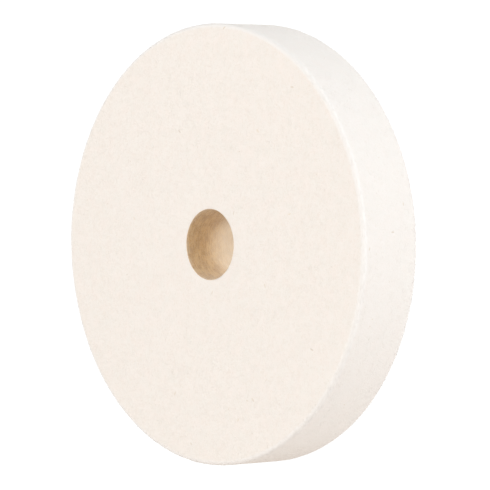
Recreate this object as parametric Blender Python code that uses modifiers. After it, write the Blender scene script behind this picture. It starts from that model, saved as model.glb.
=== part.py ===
"""Felt polishing wheel: a thick disc of hard pressed wool felt with a plain round bore.

The wheel stands on its rim. Its axis lies along Y, the front face looks along -Y, and the origin is the
centre of the bore, midway between the two faces. Lengths are in metres.

The wheel comes from one block of felt. The wall of its bore is a second material, felt that was scorched
hard when the bore was burnt to size, so it is modelled as a solid of its own inside the white felt.
"""

import math

import bpy

MM = 0.001

# Driving dimensions
WHEEL_DIAMETER = 125.0 * MM
WHEEL_THICKNESS = 20.5 * MM
BORE_DIAMETER = 20.0 * MM
EDGE_ROUNDING = 1.2 * MM  # radius of the sanded edges between the faces and the rim
SCORCH_DEPTH = 0.8 * MM  # how far the scorched felt reaches out from the bore
GAP = 0.3 * MM  # clearance between the two solids

# Sizes that follow from them
WHEEL_RADIUS = WHEEL_DIAMETER / 2
HALF_THICKNESS = WHEEL_THICKNESS / 2
BORE_RADIUS = BORE_DIAMETER / 2
SCORCH_RADIUS = BORE_RADIUS + SCORCH_DEPTH
FELT_INNER_RADIUS = SCORCH_RADIUS + GAP

# How finely the round stretches are cut. Two more than a multiple of four puts the middle of a facet at the
# lowest point, so the wheel stands on a facet and not on the line between two.
TURN_STEPS = 146  # facets round the axis
EDGE_STEPS = 4  # facets across one rounded edge
SHARP_ANGLE = math.radians(30)


def clear_scene():
    for obj in list(bpy.data.objects):
        bpy.data.objects.remove(obj)


def make_collection(name):
    collection = bpy.data.collections.new(name)
    bpy.context.scene.collection.children.link(collection)
    return collection


def make_material(name, colour, roughness):
    material = bpy.data.materials.new(name)
    material.use_nodes = True
    shader = material.node_tree.nodes["Principled BSDF"]
    shader.inputs["Base Color"].default_value = (*colour, 1.0)
    shader.inputs["Roughness"].default_value = roughness
    shader.inputs["Metallic"].default_value = 0.0
    return material


def rounded_corner(centre_radius, centre_y, start_angle):
    """A quarter circle in the profile's plane, which turns anticlockwise from start_angle."""
    points = []
    for step in range(EDGE_STEPS + 1):
        angle = start_angle + math.radians(90) * step / EDGE_STEPS
        radius = centre_radius + EDGE_ROUNDING * math.cos(angle)
        points.append((radius, centre_y + EDGE_ROUNDING * math.sin(angle)))
    return points


def felt_profile():
    """Half the cross-section of the felt, as (radius, y) points: bore, front edge, rim, back edge."""
    corner_radius = WHEEL_RADIUS - EDGE_ROUNDING
    corner_y = HALF_THICKNESS - EDGE_ROUNDING
    front_edge = rounded_corner(corner_radius, -corner_y, math.radians(-90))
    back_edge = rounded_corner(corner_radius, corner_y, 0.0)
    bore_front = (FELT_INNER_RADIUS, -HALF_THICKNESS)
    bore_back = (FELT_INNER_RADIUS, HALF_THICKNESS)
    return [bore_front, *front_edge, *back_edge, bore_back]


def scorch_profile():
    """Half the cross-section of the bore's scorched wall: a plain sleeve, as long as the wheel is thick."""
    return [
        (BORE_RADIUS, -HALF_THICKNESS),
        (SCORCH_RADIUS, -HALF_THICKNESS),
        (SCORCH_RADIUS, HALF_THICKNESS),
        (BORE_RADIUS, HALF_THICKNESS),
    ]


def turned_solid(name, profile, material, collection):
    """Turns a closed profile of (radius, y) points about the Y axis into a ring-shaped solid."""
    count = len(profile)
    outline = bpy.data.meshes.new(name + "_profile")
    corners = [(radius, y, 0.0) for radius, y in profile]
    sides = [(i, (i + 1) % count) for i in range(count)]
    outline.from_pydata(corners, sides, [])
    lathe = bpy.data.objects.new(name + "_lathe", outline)
    collection.objects.link(lathe)
    turn = lathe.modifiers.new("turn", "SCREW")
    turn.axis = "Y"
    turn.angle = math.tau
    turn.steps = TURN_STEPS
    turn.render_steps = TURN_STEPS
    turn.use_merge_vertices = True
    turn.merge_threshold = 0.001 * MM
    turn.use_normal_flip = True

    graph = bpy.context.evaluated_depsgraph_get()
    mesh = bpy.data.meshes.new_from_object(lathe.evaluated_get(graph))
    mesh.name = name
    mesh.shade_smooth()
    mesh.set_sharp_from_angle(angle=SHARP_ANGLE)
    mesh.materials.clear()
    mesh.materials.append(material)
    bpy.data.objects.remove(lathe)

    solid = bpy.data.objects.new(name, mesh)
    collection.objects.link(solid)
    return solid


def main():
    clear_scene()
    wheel = make_collection("felt_polishing_wheel")
    cream_felt = make_material("cream_felt", (0.88, 0.82, 0.75), 0.95)
    scorched_felt = make_material("scorched_felt", (0.64, 0.47, 0.31), 0.85)
    turned_solid("felt_disc", felt_profile(), cream_felt, wheel)
    turned_solid("bore_skin", scorch_profile(), scorched_felt, wheel)


main()
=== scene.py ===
# %% [markdown]
# # A felt polishing wheel
#
# The wheel is a thick disc of wool that was soaked, pressed and dried until it became nearly as hard as wood.
# It is turned round, sanded flat on both faces, and clamped on a grinder's spindle through its bore. The
# engineering model gives its true size. This lesson builds its looks around that model: the sanded felt with
# its soft edges, the hairs that stand out of it, the bits of straw that came with the fleece, and the
# scorched wall of the bore.

import math
import random

import bmesh
import bpy
from mathutils import Euler, Matrix, Vector, noise


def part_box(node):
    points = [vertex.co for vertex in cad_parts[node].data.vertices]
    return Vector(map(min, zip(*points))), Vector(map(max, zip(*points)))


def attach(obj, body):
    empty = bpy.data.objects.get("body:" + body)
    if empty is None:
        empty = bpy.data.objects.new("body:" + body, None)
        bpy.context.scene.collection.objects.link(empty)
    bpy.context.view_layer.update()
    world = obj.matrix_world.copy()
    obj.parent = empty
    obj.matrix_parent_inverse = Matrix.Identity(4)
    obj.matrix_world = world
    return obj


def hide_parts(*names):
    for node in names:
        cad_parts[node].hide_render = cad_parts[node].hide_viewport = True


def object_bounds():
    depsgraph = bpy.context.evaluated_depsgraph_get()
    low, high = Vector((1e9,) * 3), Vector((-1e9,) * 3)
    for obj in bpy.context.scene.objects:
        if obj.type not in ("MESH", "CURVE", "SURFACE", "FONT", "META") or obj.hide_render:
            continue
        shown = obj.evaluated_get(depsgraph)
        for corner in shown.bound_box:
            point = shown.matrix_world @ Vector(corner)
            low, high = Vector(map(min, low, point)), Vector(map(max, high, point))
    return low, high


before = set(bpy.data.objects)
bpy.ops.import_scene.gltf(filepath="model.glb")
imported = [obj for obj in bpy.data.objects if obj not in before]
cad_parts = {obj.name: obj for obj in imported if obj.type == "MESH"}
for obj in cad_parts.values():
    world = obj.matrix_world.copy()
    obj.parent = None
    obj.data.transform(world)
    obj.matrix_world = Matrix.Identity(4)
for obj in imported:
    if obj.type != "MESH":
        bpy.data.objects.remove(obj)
cad_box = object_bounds()

MM = 0.001
CM = 0.01
disc_low, disc_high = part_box("felt_disc")
wheel_radius = disc_high.x
half_thickness = disc_high.y
wall_points = [vertex.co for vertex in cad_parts["bore_skin"].data.vertices]
bore_radius = min(math.hypot(point.x, point.z) for point in wall_points)
print(f"wheel {2 * wheel_radius / MM:.1f} mm across, {2 * half_thickness / MM:.1f} mm thick")
print(f"bore {2 * bore_radius / MM:.1f} mm across")

# %% [markdown]
# ## The camera
#
# A short lens held close makes a disc look swollen on the near side. A product picture is taken with a long
# lens from further off, so the far edge of the rim looks almost as tall as the near one. The camera stands to
# the right of the wheel's axis and a touch above it, far enough round to show the rim's whole width. It aims
# a little to the right of the bore, which puts the whole outline, and not the bore, in the middle.

# %% Camera
CAMERA_AZIMUTH = math.radians(47.73)
CAMERA_ELEVATION = math.radians(1.5)
CAMERA_DISTANCE = 15.51 * wheel_radius
AIM_RIGHT = 0.0378 * wheel_radius
AIM_UP = -0.0051 * wheel_radius

camera = bpy.data.objects.new("camera", bpy.data.cameras.new("camera"))
camera.data.lens = 250
camera.data.sensor_width = 36
camera.data.clip_start = 0.05
camera.data.clip_end = 50
camera.rotation_euler = Euler((math.radians(90) - CAMERA_ELEVATION, 0, CAMERA_AZIMUTH))
turned = camera.rotation_euler.to_matrix()
camera.location = turned @ Vector((AIM_RIGHT, AIM_UP, CAMERA_DISTANCE))
bpy.context.scene.collection.objects.link(camera)
bpy.context.scene.camera = camera
print(f"camera {camera.location.length:.3f} m from the wheel")

# %% [markdown]
# ## Finishing a piece
#
# Every piece goes through the same last steps: its mesh becomes an object, it is shaded smooth, and it rides
# on the wheel's only body. One helper does that. It counts the edges that don't have exactly two faces,
# because a closed solid has none.

# %% Helper: from mesh to piece
def finished_piece(name, bm):
    """Makes an object of the bmesh, at the origin, and lets it ride with the wheel."""
    open_edges = sum(1 for edge in bm.edges if not edge.is_manifold)
    triangles = sum(len(face.verts) - 2 for face in bm.faces)
    mesh = bpy.data.meshes.new(name)
    bm.to_mesh(mesh)
    bm.free()
    mesh.shade_smooth()
    piece = bpy.data.objects.new(name, mesh)
    bpy.context.scene.collection.objects.link(piece)
    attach(piece, "root")
    print(f"{name}: {triangles} triangles, {open_edges} open edges")
    return piece


# %% [markdown]
# ## Turning a solid on the lathe
#
# The wheel and the wall of its bore are turned shapes, so half of the cross-section is drawn once and spun
# about the axis. The section starts as a few corners joined by edges. Bevelling a corner rounds it with a
# true arc, and cutting up the long sides gives the mesh enough points for the felt's uneven surface.
#
# A full spin in hundreds of steps is slow, because each step has to search everything made so far. Here a
# twelfth of the turn is spun in small steps, and then that slice is spun eleven times as copies. The seams
# between the slices are closed by merging the points that fall on each other.

# %% Helper: draw a section
LONG_SIDE = 1.5


def drawn_section(corners, roundings, spacing):
    """A closed outline of (radius, y) corners. Roundings maps a corner's number to (radius, segments).

    A side longer than LONG_SIDE spacings is cut into pieces of about one spacing.
    """
    bm = bmesh.new()
    points = [bm.verts.new((radius, y, 0)) for radius, y in corners]
    for start, end in zip(points, points[1:] + points[:1]):
        bm.edges.new((start, end))
    for number, (radius, segments) in roundings.items():
        bmesh.ops.bevel(bm, geom=[points[number]], offset=radius, offset_type="OFFSET", segments=segments,
                        profile=0.5, affect="VERTICES", material=-1)
    for side in [edge for edge in bm.edges if edge.calc_length() > LONG_SIDE * spacing]:
        cuts = round(side.calc_length() / spacing) - 1
        bmesh.ops.subdivide_edges(bm, edges=[side], cuts=cuts)
    print(f"section: {len(bm.verts)} points")
    return bm


# %% Helper: spin it
SLICES = 12
MERGE_DISTANCE = 0.001 * MM


def spun_solid(bm, steps):
    """Spins the outline about the Y axis, a twelfth in fine steps and the rest as copies of that slice."""
    centre = {"cent": (0, 0, 0), "axis": (0, 1, 0)}
    slice_angle = math.tau / SLICES
    bmesh.ops.spin(bm, geom=bm.verts[:] + bm.edges[:], angle=slice_angle, steps=steps // SLICES, **centre)
    bmesh.ops.spin(bm, geom=bm.faces[:], angle=math.tau - slice_angle, steps=SLICES - 1,
                   use_duplicate=True, **centre)
    bmesh.ops.remove_doubles(bm, verts=bm.verts[:], dist=MERGE_DISTANCE)
    bmesh.ops.recalc_face_normals(bm, faces=bm.faces[:])
    print(f"spun {SLICES} slices: {len(bm.faces)} faces")
    return bm


# %% [markdown]
# ## The felt body
#
# Sanding rounds the two outer edges over. At the bore the felt rolls over the mouth as a thin lip, and
# behind the lips a shallow groove makes room for the scorched wall, which is a piece of its own with
# its own finish. That way no gap shows at the mouth.

# %% Turn the felt
EDGE_ROUNDING = 1.2 * MM
MOUTH_ROUNDING = 0.18 * MM
LIP_DEPTH = 0.3 * MM
GROOVE_RADIUS = bore_radius + 0.9 * MM
FELT_STEPS = 480
FELT_SPACING = 0.76 * MM

lip = half_thickness - LIP_DEPTH
felt_corners = [
    (bore_radius, -half_thickness),
    (wheel_radius, -half_thickness),
    (wheel_radius, half_thickness),
    (bore_radius, half_thickness),
    (bore_radius, lip),
    (GROOVE_RADIUS, lip),
    (GROOVE_RADIUS, -lip),
    (bore_radius, -lip),
]
felt_roundings = {
    0: (MOUTH_ROUNDING, 3),
    1: (EDGE_ROUNDING, 6),
    2: (EDGE_ROUNDING, 6),
    3: (MOUTH_ROUNDING, 3),
}
felt_mesh = spun_solid(drawn_section(felt_corners, felt_roundings, FELT_SPACING), FELT_STEPS)
print(f"felt: {felt_mesh.calc_volume() / CM ** 3:.1f} cm3")

# %% [markdown]
# ## The sanded surface
#
# Felt is never as flat as metal. The press leaves harder and softer patches, and the sander cuts the soft
# ones deeper. Layers of noise move each point along its own normal: broad swells over centimetres, a dimpled
# layer a few millimetres across, and a nap near the size of the mesh. All of it stays within about a tenth
# of a millimetre. The rounded mouths of the bore are left alone, so that they stay crisp.

# %% Sand the felt
SWELL = (18 * MM, 0.05 * MM)
DIMPLES = (4.5 * MM, 0.035 * MM)
NAP = (1.7 * MM, 0.03 * MM)
MOUTH_LEFT_ALONE = 0.5 * MM


def sanding(point):
    """How far the surface stands proud at this point, in metres."""
    height = 0.0
    for size, depth in (SWELL, DIMPLES, NAP):
        height += depth * noise.noise(point / size)
    return height


def sand(bm, inner_radius):
    """Moves every point beyond the inner radius along its normal by the sanding's height."""
    bm.normal_update()
    moves = [(vertex, vertex.normal * sanding(vertex.co)) for vertex in bm.verts
             if math.hypot(vertex.co.x, vertex.co.z) > inner_radius]
    for vertex, move in moves:
        vertex.co += move
    print(f"moved {len(moves)} points by up to {max(move.length for _, move in moves) / MM:.3f} mm")


sand(felt_mesh, bore_radius + MOUTH_LEFT_ALONE)

# %% [markdown]
# ## A nick in the back edge
#
# Wheels get knocked in a drawer. One small nick sits in the back edge, upper right. The mesh there is first
# cut finer, and then the points near the nick's centre are pushed in towards the axis, most in the middle
# and less towards its ends.

# %% Press the nick
NICK_ANGLE = math.radians(41)
NICK_DEPTH = 0.32 * MM
NICK_LENGTH = 1.1 * MM
NICK_WIDTH = 0.55 * MM
NICK_BELOW_RIM = 0.2 * MM
NICK_FROM_BACK = 0.9 * MM
NICK_FALLOFF = 2
FINER_WITHIN = 2.4 * MM
PRESSED_WITHIN = 3 * MM

nick_out = Vector((math.cos(NICK_ANGLE), 0, math.sin(NICK_ANGLE)))
nick_along = Vector((-math.sin(NICK_ANGLE), 0, math.cos(NICK_ANGLE)))
nick_centre = nick_out * (wheel_radius - NICK_BELOW_RIM)
nick_centre.y = half_thickness - NICK_FROM_BACK
near_nick = [edge for edge in felt_mesh.edges
             if all((vertex.co - nick_centre).length < FINER_WITHIN for vertex in edge.verts)]
bmesh.ops.subdivide_edges(felt_mesh, edges=near_nick, cuts=3, use_grid_fill=True)
for vertex in felt_mesh.verts:
    offset = vertex.co - nick_centre
    if offset.length < PRESSED_WITHIN:
        reach = (offset.dot(nick_along) / NICK_LENGTH) ** 2 + (offset.y / NICK_WIDTH) ** 2
        vertex.co -= nick_out * NICK_DEPTH * math.exp(-NICK_FALLOFF * reach)
bmesh.ops.recalc_face_normals(felt_mesh, faces=felt_mesh.faces[:])
print(f"nick: {len(near_nick)} edges cut finer")
felt_wheel = finished_piece("felt_wheel", felt_mesh)
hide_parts("felt_disc")

# %% [markdown]
# ## The wall of the bore
#
# The bore was burnt to size, which leaves a thin hard skin with faint rings round it. It is a plain sleeve,
# drawn to fit the groove with a hair's clearance. Its inner side gets rings from one more layer of noise.
# Each direction has its own size there, so the noise changes quickly along the bore and slowly round it.

# %% Turn the wall
WALL_CLEARANCE = 0.02 * MM
WALL_STEPS = 240
WALL_SPACING = 0.28 * MM
RING_DEPTH = 0.02 * MM
RING_LENGTH = 6 * MM
RING_SPACING = 0.7 * MM
INNER_SIDE = bore_radius + 0.1 * MM

wall_end = lip - WALL_CLEARANCE
wall_outside = GROOVE_RADIUS - WALL_CLEARANCE
wall_corners = [(bore_radius, -wall_end), (wall_outside, -wall_end), (wall_outside, wall_end),
                (bore_radius, wall_end)]
wall_mesh = spun_solid(drawn_section(wall_corners, {}, WALL_SPACING), WALL_STEPS)
for vertex in wall_mesh.verts:
    outward = Vector((vertex.co.x, 0, vertex.co.z))
    if outward.length < INNER_SIDE:
        rings = Vector((vertex.co.x / RING_LENGTH, vertex.co.y / RING_SPACING, vertex.co.z / RING_LENGTH))
        vertex.co += outward.normalized() * RING_DEPTH * noise.noise(rings)
bore_wall = finished_piece("bore_wall", wall_mesh)
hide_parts("bore_skin")

# %% [markdown]
# ## Places on the surface
#
# Hairs and bits of straw need a place to sit and a direction to stand in. Three helpers give a point, its
# outward normal and one direction along the surface: on a face, on the rim, and on a rounded edge.

# %% Helper: places on the surface
def on_face(side, radius, angle):
    """A point on the front (side -1) or back (+1) face, with the outward normal and one tangent."""
    out = Vector((math.cos(angle), 0, math.sin(angle)))
    return out * radius + Vector((0, side * half_thickness, 0)), Vector((0, side, 0)), out


def on_rim(y, angle):
    """A point on the rim, with the outward normal and one tangent."""
    out = Vector((math.cos(angle), 0, math.sin(angle)))
    return out * wheel_radius + Vector((0, y, 0)), out, Vector((0, 1, 0))


def on_edge(side, angle, turn):
    """A point on a rounded outer edge. Turn 0 is where it meets the rim, and 90 degrees the face."""
    out = Vector((math.cos(angle), 0, math.sin(angle)))
    normal = out * math.cos(turn) + Vector((0, side * math.sin(turn), 0))
    centre = out * (wheel_radius - EDGE_ROUNDING) + Vector((0, side * (half_thickness - EDGE_ROUNDING), 0))
    return centre + normal * EDGE_ROUNDING, normal, out.cross(Vector((0, 1, 0)))


edge_point = on_edge(-1, 0, math.radians(45))[0]
print(f"a point on the front edge stands {edge_point.x / MM:.2f} mm from the axis")

# %% [markdown]
# ## Hairs
#
# Thousands of wool hairs show on sanded felt: most lie matted on the surface and dip in and out of it, and
# some stand up along the edges. A hair is about 0.03 mm thick. Its points are worked out one after another:
# it starts just under the surface, runs on in its own direction, bends steadily to one side, and rises and
# sinks again like a shallow arch. Each point also follows the sanding, so no hair floats over a hollow.

# %% Helper: one hair
HAIR_RADIUS = 0.016 * MM
ARCH = 0.8 * math.pi


def hair_points(place, draw, length, rise, bend, count):
    """A bent hair that starts under the surface at place and climbs at first by the share rise."""
    root, normal, tangent = place
    heading = Matrix.Rotation(draw.uniform(0, math.tau), 3, normal) @ tangent
    turn = Matrix.Rotation(draw.uniform(-bend, bend) / count, 3, normal)
    point = root - normal * 0.5 * HAIR_RADIUS
    points = []
    for step in range(count):
        points.append(point + normal * sanding(point))
        lift = normal * rise * math.cos(ARCH * step / count)
        point = point + (heading + lift) * length / (count - 1)
        heading = turn @ heading
    return points


middle_of_face = on_face(-1, 0.5 * wheel_radius, 0)
sample_hair = hair_points(middle_of_face, random.Random(1), 2 * MM, rise=0.05, bend=2.2, count=6)
print(f"a hair of 2 mm reaches {(sample_hair[-1] - sample_hair[0]).length / MM:.2f} mm")

# %% [markdown]
# A curve object turns such points into a tube. Its bevel gives every line a square section and closed ends,
# which is enough for something this thin, and one object holds thousands of lines. The evaluated curve then
# becomes a mesh. The caps of a curve are loose, so the doubles are merged before the normals are set.

# %% Helper: a mesh of many hairs
HAIR_MERGE = 0.0005 * MM
ROOT_SHARE = 0.5
TIP_SHARE = 0.3


def hair_mesh(name, hairs):
    """One closed mesh of all the hairs, each a thin square tube that tapers at both ends."""
    curve = bpy.data.curves.new(name, "CURVE")
    curve.dimensions = "3D"
    curve.bevel_depth = HAIR_RADIUS
    curve.bevel_resolution = 0
    curve.use_fill_caps = True
    for points in hairs:
        line = curve.splines.new("POLY")
        line.points.add(len(points) - 1)
        for place, point in zip(line.points, points):
            place.co = (*point, 1)
        line.points[0].radius = ROOT_SHARE
        line.points[-1].radius = TIP_SHARE
    source = bpy.data.objects.new(name + "_lines", curve)
    bpy.context.scene.collection.objects.link(source)
    tubes = bpy.data.meshes.new_from_object(source.evaluated_get(bpy.context.evaluated_depsgraph_get()))
    bpy.data.objects.remove(source)
    bm = bmesh.new()
    bm.from_mesh(tubes)
    bpy.data.meshes.remove(tubes)
    bmesh.ops.remove_doubles(bm, verts=bm.verts[:], dist=HAIR_MERGE)
    bmesh.ops.recalc_face_normals(bm, faces=bm.faces[:])
    print(f"{name}: {len(hairs)} hairs")
    return finished_piece(name, bm)


# %% [markdown]
# The matted hairs are long and nearly flat, and lie on both faces and the rim. The square root in the draw
# of the radius spreads them evenly, because a ring further out has more room.

# %% Matted hairs on both faces and the rim
FACE_HAIRS = 1700
RIM_HAIRS = 1000
MATTED_SHAPE = {"bend": 2.2, "count": 6}

draw = random.Random(11)
matted = []
for side in (-1, 1):
    for _ in range(FACE_HAIRS):
        radius = math.sqrt(draw.uniform((bore_radius + MM) ** 2, (wheel_radius - 2 * MM) ** 2))
        place = on_face(side, radius, draw.uniform(0, math.tau))
        length = draw.uniform(1.2, 3.6) * MM
        matted.append(hair_points(place, draw, length, draw.uniform(0.02, 0.07), **MATTED_SHAPE))
for _ in range(RIM_HAIRS):
    y = draw.uniform(-1, 1) * (half_thickness - 1.5 * MM)
    place = on_rim(y, draw.uniform(0, math.tau))
    length = draw.uniform(1.0, 2.4) * MM
    matted.append(hair_points(place, draw, length, draw.uniform(0.03, 0.10), **MATTED_SHAPE))
matted_hairs = hair_mesh("matted_hairs", matted)

# %% [markdown]
# The raised hairs are short and steeper, and stand close together. They blur the outline of the wheel a
# little, which tells the eye that it is wool and not plastic. A few grow round the mouths of the bore.

# %% Raised hairs along the edges
EDGE_HAIRS = 2480
MOUTH_HAIRS = 280
RAISED_SHAPE = {"bend": 1.6, "count": 5}

draw = random.Random(23)
raised = []
for side in (-1, 1):
    for _ in range(EDGE_HAIRS):
        place = on_edge(side, draw.uniform(0, math.tau), draw.uniform(0, math.radians(90)))
        length = draw.uniform(0.4, 1.0) * MM
        raised.append(hair_points(place, draw, length, draw.uniform(0.03, 0.22), **RAISED_SHAPE))
    for _ in range(MOUTH_HAIRS):
        place = on_face(side, bore_radius + draw.uniform(0.1, 0.6) * MM, draw.uniform(0, math.tau))
        length = draw.uniform(0.3, 0.8) * MM
        raised.append(hair_points(place, draw, length, draw.uniform(0.1, 0.5), **RAISED_SHAPE))
edge_fuzz = hair_mesh("edge_fuzz", raised)

# %% [markdown]
# ## Bits of straw
#
# A fleece brings in bits of straw and burr, and some end up in the felt as small brown slivers. Each one is
# a small icosphere, stretched to a sliver, turned flat to the surface and sunk until only its top
# shows. The ones that catch the eye are listed, and many finer ones are strewn at random. A place on
# the front is millimetres right and up from the axis. One on the rim is degrees round from the right, and
# millimetres back from the front face.

# %% Where the bits sit, and one bit
FRONT_BITS = [
    (-13, 32), (34, 44), (23, -11), (-8, -57), (12, -49), (-15, -43), (10, 9), (6, 61), (18, -43),
    (42, -28), (8, -46), (1, -13.5), (33, 9), (-33, 7), (20, 32),
]
RIM_BITS = [(4, 11), (11, 16), (0, 2), (-44, 9.6)]
STREWN_BITS = 60
RIM_SHARE = 0.25
BIT_HEIGHT = 0.07 * MM
BIT_SUNK = 0.012 * MM


def add_bit(bm, place, draw, length):
    """One sliver, lying flat at place, with the lower two thirds of it in the felt."""
    point, normal, tangent = place
    made = bmesh.ops.create_icosphere(bm, subdivisions=2, radius=0.5)
    across = normal.cross(tangent)
    flat = Matrix((tangent, across, normal)).transposed().to_4x4()
    spin = Matrix.Rotation(draw.uniform(0, math.tau), 4, normal)
    width = draw.uniform(0.25, 0.45)
    size = Matrix.Diagonal((length, length * width, BIT_HEIGHT, 1))
    matrix = Matrix.Translation(point + normal * (sanding(point) - BIT_SUNK)) @ spin @ flat @ size
    bmesh.ops.transform(bm, matrix=matrix, verts=made["verts"])


print(f"{len(FRONT_BITS) + len(RIM_BITS)} bits placed by hand and {STREWN_BITS} strewn")

# %% Set them
draw = random.Random(37)
bits = bmesh.new()
for x, z in FRONT_BITS:
    place = on_face(-1, math.hypot(x, z) * MM, math.atan2(z, x))
    add_bit(bits, place, draw, draw.uniform(1.1, 1.7) * MM)
for degrees, depth in RIM_BITS:
    place = on_rim(depth * MM - half_thickness, math.radians(degrees))
    add_bit(bits, place, draw, draw.uniform(0.9, 1.3) * MM)
for _ in range(STREWN_BITS):
    angle = draw.uniform(0, math.tau)
    if draw.random() < RIM_SHARE:
        place = on_rim(draw.uniform(-1, 1) * (half_thickness - 2 * MM), angle)
    else:
        radius = math.sqrt(draw.uniform((bore_radius + 2 * MM) ** 2, (wheel_radius - 2 * MM) ** 2))
        place = on_face(draw.choice((-1, 1)), radius, angle)
    add_bit(bits, place, draw, draw.uniform(0.4, 0.9) * MM)
straw_bits = finished_piece("straw_bits", bits)

# %% [markdown]
# ## Shader helpers
#
# A material here is a small network of nodes. These helpers keep each step to one line: add a node with its
# settings and inputs, do one sum, fade between two values, or mix two colours. A value that is a socket is
# linked, and any other value is typed in. The last two make and place a node group, which is a small network
# of its own that several materials can share.
#
# Noise textures run from 0 to 1, but hardly leave the range from 0.3 to 0.7, so most fades use that range.

# %% Helper: add a node
def feed(tree, node, values):
    """Links each value that is a socket to the node's input of that name, and types in the others."""
    for name, value in values.items():
        if isinstance(value, bpy.types.NodeSocket):
            tree.links.new(value, node.inputs[name])
        else:
            node.inputs[name].default_value = value


def add_node(tree, kind, values=None, **settings):
    """A new node with these settings and input values."""
    made = tree.nodes.new(kind)
    for setting, value in settings.items():
        setattr(made, setting, value)
    feed(tree, made, values or {})
    return made


print("helpers ready: feed, add_node")

# %% Helpers: sums, fades and mixes
NOISE_ROUGHNESS = 0.55
NOISE_RANGE = (0.3, 0.7)


def sum_of(tree, operation, *values):
    """The result of one Math node."""
    return add_node(tree, "ShaderNodeMath", dict(enumerate(values)), operation=operation).outputs[0]


def fade(tree, value, start, end, low=0.0, high=1.0):
    """Goes smoothly from low to high as value goes from start to end."""
    values = {"Value": value, "From Min": start, "From Max": end, "To Min": low, "To Max": high}
    made = add_node(tree, "ShaderNodeMapRange", values, interpolation_type="SMOOTHSTEP")
    return made.outputs["Result"]


def mixed(tree, share, first, second):
    """Colour first at share 0, colour second at share 1."""
    made = add_node(tree, "ShaderNodeMix", {0: share, 6: first, 7: second}, data_type="RGBA")
    return made.outputs[2]


def noise_at(tree, position, scale, detail=2.0):
    """A noise texture with that many blobs in a metre."""
    values = {"Vector": position, "Scale": scale, "Detail": detail, "Roughness": NOISE_ROUGHNESS}
    return add_node(tree, "ShaderNodeTexNoise", values)


print("helpers ready: sum_of, fade, mixed, noise_at")


# %% Helper: places on a turned object
def from_axis(tree, position):
    """The distance from the wheel's axis, and the place along it."""
    parts = add_node(tree, "ShaderNodeSeparateXYZ", {0: position}).outputs
    flat = add_node(tree, "ShaderNodeCombineXYZ", {0: parts["X"], 2: parts["Z"]})
    radius = add_node(tree, "ShaderNodeVectorMath", {0: flat.outputs[0]}, operation="LENGTH").outputs["Value"]
    return radius, parts["Y"]


print("helper ready: from_axis")


# %% Helpers: make a group, and place it
def new_group(name, inputs, outputs):
    """A shader node group with these inputs, (name, kind, value), and outputs, (name, kind)."""
    tree = bpy.data.node_groups.new(name, "ShaderNodeTree")
    for label, kind, value in inputs:
        socket = tree.interface.new_socket(name=label, in_out="INPUT", socket_type="NodeSocket" + kind)
        if kind == "Float":
            socket.default_value = value
    for label, kind in outputs:
        tree.interface.new_socket(name=label, in_out="OUTPUT", socket_type="NodeSocket" + kind)
    return tree, add_node(tree, "NodeGroupInput").outputs, add_node(tree, "NodeGroupOutput").inputs


def placed_group(tree, group, values):
    """Places the group in a material or another group, with its own values, and returns its outputs."""
    made = add_node(tree, "ShaderNodeGroup", node_tree=group)
    feed(tree, made, values)
    return made.outputs


print("helpers ready: new_group, placed_group")

# %% [markdown]
# ## Effect: matted wool
#
# Close up, felt is a tangle of hairs that run every way. The group reads noise that is stretched along one
# direction, and keeps only the values near the middle, which lie on thin lines. Four such layers that point
# different ways, each bent by a slower noise, make the tangle. The highest layer wins at each point, as
# the hair on top does.

# %% Group: matted wool
TANGLE_TURNS = [(0, 0, 0.2), (0.9, 1.1, 0), (0.3, 2.1, 0.5), (1.3, 0.4, 1.4)]
LINE_HALF_WIDTH = 0.09
ON_TOP_FROM = 0.75


def matted_wool_group():
    """Height is the relief of the tangle, and Top Hairs marks the hairs that lie on top."""
    inputs = [("Position", "Vector", None), ("Hair Length", "Float", 3 * MM),
              ("Hair Width", "Float", 0.3 * MM), ("Curl", "Float", 0.4)]
    tree, given, result = new_group("matted wool", inputs, [("Height", "Float"), ("Top Hairs", "Float")])
    bend_scale = sum_of(tree, "DIVIDE", 1.0, given["Hair Length"])
    bend = noise_at(tree, given["Position"], bend_scale, detail=1.0).outputs["Color"]
    centred = add_node(tree, "ShaderNodeVectorMath", {0: bend, 1: (0.5, 0.5, 0.5)}, operation="SUBTRACT")
    reach = sum_of(tree, "MULTIPLY", given["Curl"], given["Hair Length"])
    scaled = add_node(tree, "ShaderNodeVectorMath", {0: centred.outputs[0], "Scale": reach},
                      operation="SCALE")
    bent = add_node(tree, "ShaderNodeVectorMath", {0: given["Position"], 1: scaled.outputs[0]},
                    operation="ADD")
    size = add_node(tree, "ShaderNodeCombineXYZ", {0: given["Hair Length"], 1: given["Hair Width"],
                                                  2: given["Hair Width"]})
    top = 0.0
    for turn in TANGLE_TURNS:
        values = {"Vector": bent.outputs[0], "Rotation": turn, "Scale": size.outputs[0]}
        along = add_node(tree, "ShaderNodeMapping", values, vector_type="TEXTURE")
        grey = noise_at(tree, along.outputs[0], scale=1.0, detail=1.0).outputs[0]
        off_middle = sum_of(tree, "ABSOLUTE", sum_of(tree, "SUBTRACT", grey, 0.5))
        line = fade(tree, off_middle, 0.0, LINE_HALF_WIDTH, 1.0, 0.0)
        top = sum_of(tree, "MAXIMUM", top, line)
    tree.links.new(top, result["Height"])
    tree.links.new(fade(tree, top, ON_TOP_FROM, 1.0), result["Top Hairs"])
    return tree


matted_wool = matted_wool_group()
print(f"matted wool group: {len(matted_wool.nodes)} nodes")

# %% [markdown]
# ## Effect: mottling
#
# A fleece isn't one colour, and the hot press yellows it in patches. Two slow noises that don't match each
# other give a patch mask, for lighter and darker, and a warmth mask, for creamier and pinker.

# %% Group: mottling
ELSEWHERE = (0.31, 0.17, 0.23)
WARMTH_RANGE = (0.32, 0.68)


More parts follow.
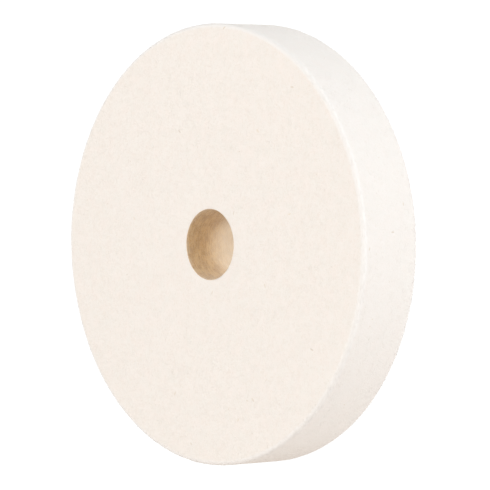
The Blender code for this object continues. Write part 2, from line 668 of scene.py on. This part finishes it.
def mottling_group():
    """Patches goes from light to dark, and Warmth from cream to pink."""
    inputs = [("Position", "Vector", None), ("Patch Size", "Float", 6 * MM)]
    tree, given, result = new_group("mottling", inputs, [("Patches", "Float"), ("Warmth", "Float")])
    scale = sum_of(tree, "DIVIDE", 1.0, given["Patch Size"])
    patches = noise_at(tree, given["Position"], scale, detail=4.0).outputs[0]
    tree.links.new(fade(tree, patches, *NOISE_RANGE), result["Patches"])
    moved = add_node(tree, "ShaderNodeMapping", {"Vector": given["Position"], "Location": ELSEWHERE})
    warmth = noise_at(tree, moved.outputs[0], scale, detail=3.0).outputs[0]
    tree.links.new(fade(tree, warmth, *WARMTH_RANGE), result["Warmth"])
    return tree


mottling = mottling_group()
print(f"mottling group: {len(mottling.nodes)} nodes")

# %% [markdown]
# ## Effect: worn and highlighted edge
#
# Handling and sanding fluff the felt up where the faces meet the rim. The rounded edge is painted whiter,
# partly for that wear and partly as a painted highlight. The mask needs no edge detection. The edge is a
# circle at the wheel's radius and half its thickness, so the distance to it follows from the object's own
# coordinates.
# Noise makes the border of the band ragged, and the back edge gets a smaller share.
#
# The whole rim is painted paler and more neutral than the faces, as painted light for the cooler light that
# falls on it, so the group also puts out a mask of the rim.

# %% Group: worn edge
EDGE_GRAIN = 900.0
BAND_CORE = 0.4
FRONT_TO_BACK = (-5 * MM, 5 * MM)
RIM_TO_FACE = (0.3 * MM, 1.2 * MM)


def edge_wear_and_highlight_group():
    """The first output is the band along both rounded edges, for wear and a painted highlight. Rim is the
    whole rim, for painted light.
    """
    inputs = [("Position", "Vector", None), ("Wheel Radius", "Float", 0.06),
              ("Half Thickness", "Float", 0.01), ("Band Width", "Float", 2 * MM),
              ("Raggedness", "Float", 0.5 * MM), ("Back Share", "Float", 1.0)]
    outputs = [("Wear And Highlight", "Float"), ("Rim", "Float")]
    tree, given, result = new_group("edge wear and highlight", inputs, outputs)
    radius, along = from_axis(tree, given["Position"])
    inward = sum_of(tree, "SUBTRACT", given["Wheel Radius"], radius)
    depth = sum_of(tree, "SUBTRACT", given["Half Thickness"], sum_of(tree, "ABSOLUTE", along))
    corner = add_node(tree, "ShaderNodeCombineXYZ", {0: inward, 1: depth}).outputs[0]
    distance = add_node(tree, "ShaderNodeVectorMath", {0: corner}, operation="LENGTH").outputs["Value"]
    grain = sum_of(tree, "SUBTRACT", noise_at(tree, given["Position"], EDGE_GRAIN).outputs[0], 0.5)
    ragged = sum_of(tree, "ADD", distance, sum_of(tree, "MULTIPLY", grain, given["Raggedness"]))
    inner = sum_of(tree, "MULTIPLY", given["Band Width"], BAND_CORE)
    band = fade(tree, ragged, inner, given["Band Width"], 1.0, 0.0)
    side = fade(tree, along, *FRONT_TO_BACK, 1.0, given["Back Share"])
    tree.links.new(sum_of(tree, "MULTIPLY", band, side), result["Wear And Highlight"])
    tree.links.new(fade(tree, inward, *RIM_TO_FACE, 1.0, 0.0), result["Rim"])
    return tree


edge_wear_and_highlight = edge_wear_and_highlight_group()
print(f"edge wear and highlight group: {len(edge_wear_and_highlight.nodes)} nodes")

# %% [markdown]
# ## Effect: scorching
#
# Heat turns wool from cream to tan and brown. Deep in the bore the char is full. It thins out over the last
# millimetre or two towards each mouth, and stops within a fraction of a millimetre outside it. The tool that
# burnt the bore left streaks round it, so the streak noise is squeezed along the axis and stretched round
# it. One more mask says how near a point is to the back end, where the wall is painted paler: partly painted
# light, for the light that reaches the deep wall through the back mouth.
#
# Both the felt's lip and the bore's wall use the group, so the colour runs on from one piece to the other.

# %% Group: scorching
STREAK_LENGTH = 2 * MM
BLEED_GRAIN = 1500.0
MOUTH_GRAIN = 700.0
BLOTCH_GRAIN = 420.0
MOUTH_FADE = (0.6 * MM, 2.2 * MM)
CHAR_AT_MOUTH = 0.7
BACK_FADE = (-5 * MM, 6 * MM)


def scorching_group():
    """Char is how burnt a point is. Streaks and Blotches vary its colour, and the last output is 1 at the
    back end.
    """
    inputs = [("Position", "Vector", None), ("Bore Radius", "Float", 0.01), ("Half Thickness", "Float", 0.01),
              ("Bleed", "Float", 0.2 * MM), ("Streak Width", "Float", 0.5 * MM)]
    outputs = [("Char", "Float"), ("Streaks", "Float"), ("Blotches", "Float"), ("Toward Back", "Float")]
    tree, given, result = new_group("scorching", inputs, outputs)
    radius, depth = from_axis(tree, given["Position"])
    grain = noise_at(tree, given["Position"], BLEED_GRAIN).outputs[0]
    uneven = sum_of(tree, "MULTIPLY", sum_of(tree, "SUBTRACT", grain, 0.5), given["Bleed"])
    beyond = sum_of(tree, "ADD", sum_of(tree, "SUBTRACT", radius, given["Bore Radius"]), uneven)
    inside = fade(tree, beyond, 0.0, given["Bleed"], 1.0, 0.0)
    below_mouth = sum_of(tree, "SUBTRACT", given["Half Thickness"], sum_of(tree, "ABSOLUTE", depth))
    mouth_noise = noise_at(tree, given["Position"], MOUTH_GRAIN, detail=3.0).outputs[0]
    uneven_mouth = fade(tree, mouth_noise, *NOISE_RANGE, *MOUTH_FADE)
    burnt = fade(tree, below_mouth, 0.0, uneven_mouth, CHAR_AT_MOUTH, 1.0)
    tree.links.new(sum_of(tree, "MULTIPLY", inside, burnt), result["Char"])
    size = add_node(tree, "ShaderNodeCombineXYZ", {0: STREAK_LENGTH, 1: given["Streak Width"],
                                                  2: STREAK_LENGTH})
    along = add_node(tree, "ShaderNodeMapping", {"Vector": given["Position"], "Scale": size.outputs[0]},
                     vector_type="TEXTURE")
    streaks = noise_at(tree, along.outputs[0], scale=1.0, detail=4.0).outputs[0]
    tree.links.new(fade(tree, streaks, *NOISE_RANGE), result["Streaks"])
    blotches = noise_at(tree, given["Position"], BLOTCH_GRAIN, detail=5.0).outputs[0]
    tree.links.new(fade(tree, blotches, *NOISE_RANGE), result["Blotches"])
    tree.links.new(fade(tree, depth, *BACK_FADE), result["Toward Back"])
    return tree


scorching = scorching_group()
print(f"scorching group: {len(scorching.nodes)} nodes")

# %% [markdown]
# ## Effect: buried flecks
#
# Most straw is broken so small that it can't be felt, but it still shows as faint brown strokes. Scattered
# cell centres are the flecks. Each cell's own random colour turns its fleck to a direction of its own, and
# the point is measured against a sliver: the distance is divided by the fleck's length one way and by its
# width the other two. A cell keeps its fleck only if its random number is low enough.

# %% Group: buried flecks
FLECK_BORDER = (0.2, 0.55)


def buried_flecks_group():
    """Flecks is 1 in the middle of a fleck and fades to 0 at its border."""
    inputs = [("Position", "Vector", None), ("Spacing", "Float", 2 * MM), ("Fleck Length", "Float", 1 * MM),
              ("Fleck Width", "Float", 0.3 * MM), ("Share Kept", "Float", 0.3)]
    tree, given, result = new_group("buried flecks", inputs, [("Flecks", "Float")])
    scale = sum_of(tree, "DIVIDE", 1.0, given["Spacing"])
    cells = add_node(tree, "ShaderNodeTexVoronoi", {"Vector": given["Position"], "Scale": scale}).outputs
    from_centre = add_node(tree, "ShaderNodeVectorMath", {0: given["Position"], 1: cells["Position"]},
                           operation="SUBTRACT").outputs[0]
    direction = add_node(tree, "ShaderNodeVectorMath", {0: cells["Color"], "Scale": math.tau},
                         operation="SCALE").outputs[0]
    turned = add_node(tree, "ShaderNodeVectorRotate", {"Vector": from_centre, "Rotation": direction},
                      rotation_type="EULER_XYZ").outputs[0]
    size = add_node(tree, "ShaderNodeCombineXYZ", {0: given["Fleck Length"], 1: given["Fleck Width"],
                                                  2: given["Fleck Width"]}).outputs[0]
    shares = add_node(tree, "ShaderNodeVectorMath", {0: turned, 1: size}, operation="DIVIDE").outputs[0]
    distance = add_node(tree, "ShaderNodeVectorMath", {0: shares}, operation="LENGTH").outputs["Value"]
    spot = fade(tree, distance, *FLECK_BORDER, 1.0, 0.0)
    chance = add_node(tree, "ShaderNodeSeparateColor", {0: cells["Color"]}).outputs[1]
    kept = sum_of(tree, "LESS_THAN", chance, given["Share Kept"])
    tree.links.new(sum_of(tree, "MULTIPLY", spot, kept), result["Flecks"])
    return tree


buried_flecks = buried_flecks_group()
print(f"buried flecks group: {len(buried_flecks.nodes)} nodes")

# %% [markdown]
# ## Materials
#
# Each finish is one Principled shader. Wool hairs scatter light at a shallow angle, which is what sheen is
# for, and felt has little gloss. Those values are the same all over, so they are typed into the shader.
# Colour, roughness and relief change over the surface, so they come from the groups.

# %% Helpers: start a material, give it relief, and put it on a piece
SHEEN_ROUGHNESS = 0.5


def started_material(name, sheen, gloss):
    """A material with its shader and the position of each point in metres."""
    material = bpy.data.materials.new(name)
    material.use_nodes = True
    tree = material.node_tree
    shader = tree.nodes["Principled BSDF"]
    shader.inputs["Sheen Weight"].default_value = sheen
    shader.inputs["Sheen Roughness"].default_value = SHEEN_ROUGHNESS
    shader.inputs["Specular IOR Level"].default_value = gloss
    position = add_node(tree, "ShaderNodeTexCoord").outputs["Object"]
    return material, tree, shader, position


def bumped(tree, height, depth, strength, normal=None):
    """A Bump node whose relief is depth metres high. Another bump's normal can go in under it."""
    values = {"Height": height, "Distance": depth, "Strength": strength}
    if normal is not None:
        values["Normal"] = normal
    return add_node(tree, "ShaderNodeBump", values).outputs[0]


def dress(piece, material):
    """Puts the material on the piece."""
    piece.data.materials.append(material)
    print(f"{piece.name} wears {material.name}: {len(material.node_tree.nodes)} nodes")


print("helpers ready: started_material, bumped, dress")

# %% Colours
CREAM = (0.94, 0.885, 0.832, 1)
PINKISH = (0.94, 0.868, 0.808, 1)
GREYISH = (0.905, 0.87, 0.81, 1)
GAP_SHADE = (0.85, 0.765, 0.665, 1)
FLUFF_AND_HIGHLIGHT_WHITE = (0.955, 0.93, 0.90, 1)
STRAW = (0.55, 0.42, 0.28, 1)
PALE_TAN = (0.93, 0.785, 0.595, 1)
TAN = (0.86, 0.59, 0.262, 1)
BROWN = (0.64, 0.378, 0.115, 1)
PALE_STRAW = (0.87, 0.785, 0.665, 1)
DARK_STRAW = (0.74, 0.665, 0.58, 1)
print(f"scorched felt goes from {TAN[:3]} to {BROWN[:3]}")

# %% [markdown]
# ## Scorched colour
#
# The colour under the char is worked out in one place, because both the lip and the wall show it.

# %% Helper: scorched colour
TAN_TO_BROWN = (0.15, 0.85)
BACK_PALE_SHARE = 0.7


def scorched_colour(tree, marks):
    """Tan felt, browner along the streaks and in the blotches, and paler towards the back."""
    share = sum_of(tree, "MULTIPLY", sum_of(tree, "ADD", marks["Streaks"], marks["Blotches"]), 0.5)
    colour = mixed(tree, fade(tree, share, *TAN_TO_BROWN), TAN, BROWN)
    # Partly painted light: paler towards the back end, where light reaches the deep wall through the back
    # mouth.
    return mixed(tree, sum_of(tree, "MULTIPLY", marks["Toward Back"], BACK_PALE_SHARE), colour, PALE_TAN)


print(f"the back end is {BACK_PALE_SHARE:.0%} pale tan")

# %% [markdown]
# ## Sanded felt
#
# The body of the wheel is the finish that needs most layers. From the bottom up, these are a mottled cream,
# painted shade in the gaps between tufts and between hairs, a painted highlight where a hair lies on top, two
# sizes of buried flecks, the rim painted paler as painted light, the rounded edges painted whiter for wear
# and as a painted highlight, and the scorch at the mouths. A named share says how strongly each layer shows,
# and
# small shares are enough: what looks like white felt is many faint colours. The relief comes from three
# bumps,
# one on top of the other: a fine nap, the tufts and the hairs.

# %% How strongly each layer shows
WARM_TINT = 0.8
GREY_TINT = 0.6
TUFT_SHADE = 0.26
HAIR_SHADE = 0.07
TOP_HAIR_HIGHLIGHT = 0.1
DUST_TINT = 0.1
SLIVER_TINT = 0.3
RIM_PAINTED_LIGHT = 0.4
EDGE_WEAR_AND_HIGHLIGHT = 0.9
BLEED = 0.16 * MM
GAP_TO_TOP = (0.2, 0.9)
NAP_GRAIN = 1400.0
print(f"the rounded edge is {EDGE_WEAR_AND_HIGHLIGHT:.0%} fluff and highlight white, the rim {RIM_PAINTED_LIGHT:.0%}")


# %% Sanded felt
def sanded_felt():
    """The finish of the whole body."""
    material, tree, shader, position = started_material("sanded felt", sheen=0.12, gloss=0.15)
    tone = placed_group(tree, mottling, {"Position": position, "Patch Size": 3.5 * MM})
    tufts = placed_group(tree, matted_wool, {"Position": position, "Hair Length": 3.6 * MM,
                                             "Hair Width": 0.9 * MM, "Curl": 0.5})
    hairs = placed_group(tree, matted_wool, {"Position": position, "Hair Length": 2.2 * MM,
                                             "Hair Width": 0.4 * MM, "Curl": 0.45})
    slivers = placed_group(tree, buried_flecks, {"Position": position})
    dust = placed_group(tree, buried_flecks, {"Position": position, "Spacing": 1.1 * MM, "Share Kept": 0.35,
                                              "Fleck Length": 0.7 * MM, "Fleck Width": 0.25 * MM})
    edge_and_rim_shares = placed_group(tree, edge_wear_and_highlight, {"Position": position, "Wheel Radius": wheel_radius,
                                          "Half Thickness": half_thickness, "Band Width": 1.6 * MM,
                                          "Raggedness": 0.6 * MM, "Back Share": 0.45})
    marks = placed_group(tree, scorching, {"Position": position, "Bore Radius": bore_radius,
                                           "Half Thickness": half_thickness, "Bleed": BLEED,
                                           "Streak Width": 0.5 * MM})
    colour = mixed(tree, sum_of(tree, "MULTIPLY", tone["Warmth"], WARM_TINT), CREAM, PINKISH)
    colour = mixed(tree, sum_of(tree, "MULTIPLY", tone["Patches"], GREY_TINT), colour, GREYISH)
    colour = mixed(tree, fade(tree, tufts["Height"], *GAP_TO_TOP, TUFT_SHADE, 0.0), colour, GAP_SHADE)
    colour = mixed(tree, fade(tree, hairs["Height"], *GAP_TO_TOP, HAIR_SHADE, 0.0), colour, GAP_SHADE)
    # Painted highlight: hairs that lie on top are painted whiter, as if they catch more light.
    colour = mixed(tree, sum_of(tree, "MULTIPLY", hairs["Top Hairs"], TOP_HAIR_HIGHLIGHT), colour, FLUFF_AND_HIGHLIGHT_WHITE)
    colour = mixed(tree, sum_of(tree, "MULTIPLY", dust["Flecks"], DUST_TINT), colour, STRAW)
    colour = mixed(tree, sum_of(tree, "MULTIPLY", slivers["Flecks"], SLIVER_TINT), colour, STRAW)
    # Painted light: the whole rim is painted paler and more neutral, for the cooler light that falls on it.
    colour = mixed(tree, sum_of(tree, "MULTIPLY", edge_and_rim_shares["Rim"], RIM_PAINTED_LIGHT), colour, FLUFF_AND_HIGHLIGHT_WHITE)
    # Partly wear, partly painted highlight: the rounded edges are painted whiter.
    colour = mixed(tree, sum_of(tree, "MULTIPLY", edge_and_rim_shares["Wear And Highlight"], EDGE_WEAR_AND_HIGHLIGHT), colour, FLUFF_AND_HIGHLIGHT_WHITE)
    colour = mixed(tree, marks["Char"], colour, scorched_colour(tree, marks))
    tree.links.new(colour, shader.inputs["Base Color"])
    roughness = fade(tree, hairs["Height"], 0.0, 1.0, low=1.0, high=0.86)
    tree.links.new(roughness, shader.inputs["Roughness"])
    nap = noise_at(tree, position, NAP_GRAIN, detail=3.0).outputs[0]
    relief = bumped(tree, nap, depth=0.10 * MM, strength=0.25)
    relief = bumped(tree, tufts["Height"], depth=0.12 * MM, strength=0.4, normal=relief)
    relief = bumped(tree, hairs["Height"], depth=0.05 * MM, strength=0.35, normal=relief)
    tree.links.new(relief, shader.inputs["Normal"])
    return material


dress(felt_wheel, sanded_felt())

# %% [markdown]
# ## Scorched felt
#
# The wall of the bore is felt that was seared hard. It has more gloss than the rest, and more sheen, because
# the singed stubble shows up when the wall is seen at a shallow angle, near the top and the bottom of the
# bore. Some hairs on top escaped the heat and stay cream.

# %% Scorched felt
ESCAPED_HAIRS = 0.3


def scorched_felt():
    """The finish of the bore's wall."""
    material, tree, shader, position = started_material("scorched felt", sheen=0.5, gloss=0.5)
    marks = placed_group(tree, scorching, {"Position": position, "Bore Radius": bore_radius,
                                           "Half Thickness": half_thickness, "Bleed": BLEED,
                                           "Streak Width": 0.45 * MM})
    wool = placed_group(tree, matted_wool, {"Position": position, "Hair Length": 1.6 * MM,
                                            "Hair Width": 0.25 * MM, "Curl": 0.4})
    colour = mixed(tree, marks["Char"], CREAM, scorched_colour(tree, marks))
    colour = mixed(tree, sum_of(tree, "MULTIPLY", wool["Top Hairs"], ESCAPED_HAIRS), colour, CREAM)
    tree.links.new(colour, shader.inputs["Base Color"])
    roughness = fade(tree, marks["Streaks"], 0.0, 1.0, low=0.45, high=0.6)
    tree.links.new(roughness, shader.inputs["Roughness"])
    relief = bumped(tree, marks["Streaks"], depth=0.06 * MM, strength=0.7)
    relief = bumped(tree, wool["Height"], depth=0.07 * MM, strength=0.8, normal=relief)
    tree.links.new(relief, shader.inputs["Normal"])
    return material


dress(bore_wall, scorched_felt())

# %% [markdown]
# ## Loose wool and straw
#
# A single hair is too thin to show a pattern, so loose wool only varies slowly from cream to white. Straw is
# dry and a little glossy. The bits in felt are veiled by the wool around them, so their colours are much
# paler than clean straw.

# %% Loose wool
def loose_wool():
    """The finish of every single hair."""
    material, tree, shader, position = started_material("loose wool", sheen=0.15, gloss=0.2)
    tone = placed_group(tree, mottling, {"Position": position, "Patch Size": 1.5 * MM})
    tree.links.new(mixed(tree, tone["Patches"], CREAM, FLUFF_AND_HIGHLIGHT_WHITE), shader.inputs["Base Color"])
    roughness = fade(tree, tone["Warmth"], 0.0, 1.0, low=0.8, high=0.95)
    tree.links.new(roughness, shader.inputs["Roughness"])
    return material


wool_material = loose_wool()
dress(matted_hairs, wool_material)
dress(edge_fuzz, wool_material)

# %% Straw
HUSK_GRAIN = 6000.0
VEIL = 0.4


def straw():
    """The finish of the bits, which shows through a veil of wool."""
    material, tree, shader, position = started_material("straw", sheen=0.0, gloss=0.3)
    tone = placed_group(tree, mottling, {"Position": position, "Patch Size": 3 * MM})
    husk = noise_at(tree, position, HUSK_GRAIN).outputs[0]
    colour = mixed(tree, tone["Patches"], PALE_STRAW, DARK_STRAW)
    veiled = mixed(tree, sum_of(tree, "MULTIPLY", husk, VEIL), colour, CREAM)
    tree.links.new(veiled, shader.inputs["Base Color"])
    roughness = fade(tree, husk, *NOISE_RANGE, low=0.55, high=0.8)
    tree.links.new(roughness, shader.inputs["Roughness"])
    relief = bumped(tree, husk, depth=0.02 * MM, strength=0.5)
    tree.links.new(relief, shader.inputs["Normal"])
    return material


dress(straw_bits, straw())

# %% [markdown]
# ## Floor and light
#
# The wheel stands on its rim on a plain pale floor in a white room. A pale object on white is hard to light:
# if the room is as bright as it looks, it wraps the wheel in light from all sides and the felt goes flat. So
# the floor and the room are two things at once. The Light Path node tells the rays that come straight from
# the camera from all others. The camera sees clean white, while the wheel gets a dimmer room, with a slightly
# warm glow from the floor below.
#
# Three softboxes do the modelling. A wide one above and in front lights the face. A wide one behind lights
# the back and the top of the rim. The key is a tall narrow strip to the right and behind: it makes the rim
# brighter than the face, and shines into the bore, which draws the bright patch on its wall.

# %% Helper: a surface that looks white to the camera
WHITE_TO_CAMERA = 1.1


def white_to_camera(tree, shader_output, target, share):
    """Shows that share of plain white to the camera, and the given shader to every other ray."""
    white = add_node(tree, "ShaderNodeEmission", {"Color": (1, 1, 1, 1), "Strength": WHITE_TO_CAMERA})
    seen = sum_of(tree, "MULTIPLY", add_node(tree, "ShaderNodeLightPath").outputs["Is Camera Ray"], share)
    both = add_node(tree, "ShaderNodeMixShader", {0: seen, 1: shader_output, 2: white.outputs[0]})
    tree.links.new(both.outputs[0], target)


print(f"the camera sees a white of {WHITE_TO_CAMERA}")

# %% Floor
FLOOR_RADIUS = 4.0
FLOOR_SEGMENTS = 96
FLOOR_GREY = (0.2, 0.2, 0.2, 1)
FLOOR_GLOW = (1.0, 0.925, 0.865, 1)
FLOOR_GLOW_STRENGTH = 0.61
FLOOR_WHITE_SHARE = 0.97

floor_mesh = bmesh.new()
bmesh.ops.create_circle(floor_mesh, cap_ends=True, radius=FLOOR_RADIUS, segments=FLOOR_SEGMENTS,
                        matrix=Matrix.Translation((0, 0, cad_box[0].z)))
floor_data = bpy.data.meshes.new("floor")
floor_mesh.to_mesh(floor_data)
floor_mesh.free()
floor = bpy.data.objects.new("floor", floor_data)
bpy.context.scene.collection.objects.link(floor)

floor_material = bpy.data.materials.new("pale floor")
floor_material.use_nodes = True
tree = floor_material.node_tree
shader = tree.nodes["Principled BSDF"]
shader.inputs["Base Color"].default_value = FLOOR_GREY
shader.inputs["Roughness"].default_value = 1.0
shader.inputs["Emission Color"].default_value = FLOOR_GLOW
shader.inputs["Emission Strength"].default_value = FLOOR_GLOW_STRENGTH
surface = tree.nodes["Material Output"].inputs["Surface"]
white_to_camera(tree, shader.outputs[0], surface, FLOOR_WHITE_SHARE)
floor_data.materials.append(floor_material)
print(f"floor {2 * FLOOR_RADIUS:.0f} m across, {cad_box[0].z / MM:.1f} mm from the axis")

# %% Room
ROOM_STRENGTH = 0.37

world = bpy.data.worlds.new("white room")
bpy.context.scene.world = world
world.use_nodes = True
room = world.node_tree.nodes["Background"]
room.inputs["Color"].default_value = (1.0, 1.0, 1.0, 1)
room.inputs["Strength"].default_value = ROOM_STRENGTH
backdrop = world.node_tree.nodes["World Output"].inputs["Surface"]
white_to_camera(world.node_tree, room.outputs[0], backdrop, 1.0)
print(f"the room lights the wheel at {ROOM_STRENGTH / WHITE_TO_CAMERA:.0%} of what the camera sees")

# %% Softboxes
LIGHT_DISTANCE = 2.5


def softbox(name, azimuth, elevation, width, height, power, colour):
    """An area light that faces the wheel from that direction."""
    light = bpy.data.lights.new(name, "AREA")
    light.shape = "RECTANGLE"
    light.size = width
    light.size_y = height
    light.energy = power
    light.color = colour
    box = bpy.data.objects.new(name, light)
    round_angle = math.radians(azimuth)
    up_angle = math.radians(elevation)
    way = Vector((math.sin(round_angle) * math.cos(up_angle), -math.cos(round_angle) * math.cos(up_angle),
                  math.sin(up_angle)))
    box.location = way * LIGHT_DISTANCE
    box.rotation_euler = way.to_track_quat("Z", "Y").to_euler()
    box.visible_camera = False
    bpy.context.scene.collection.objects.link(box)
    print(f"{name}: {power:.1f} W from {azimuth} degrees round, {elevation} degrees up")


WHITE_LIGHT = (1.0, 1.0, 1.0)
COOL_LIGHT = (0.95, 1.0, 1.05)
softbox("front_fill", azimuth=15, elevation=30, width=2.0, height=2.0, power=40.3, colour=WHITE_LIGHT)
softbox("back_fill", azimuth=200, elevation=20, width=2.0, height=2.0, power=24.0, colour=WHITE_LIGHT)
softbox("key", azimuth=122, elevation=10, width=0.6, height=1.1, power=28.0, colour=COOL_LIGHT)

# %% [markdown]
# The plain view transform keeps a pale object pale, where a filmic one would grey it.

# %% View transform
bpy.context.scene.view_settings.view_transform = "Standard"
bpy.context.scene.view_settings.look = "None"
print(f"view transform: {bpy.context.scene.view_settings.view_transform}")
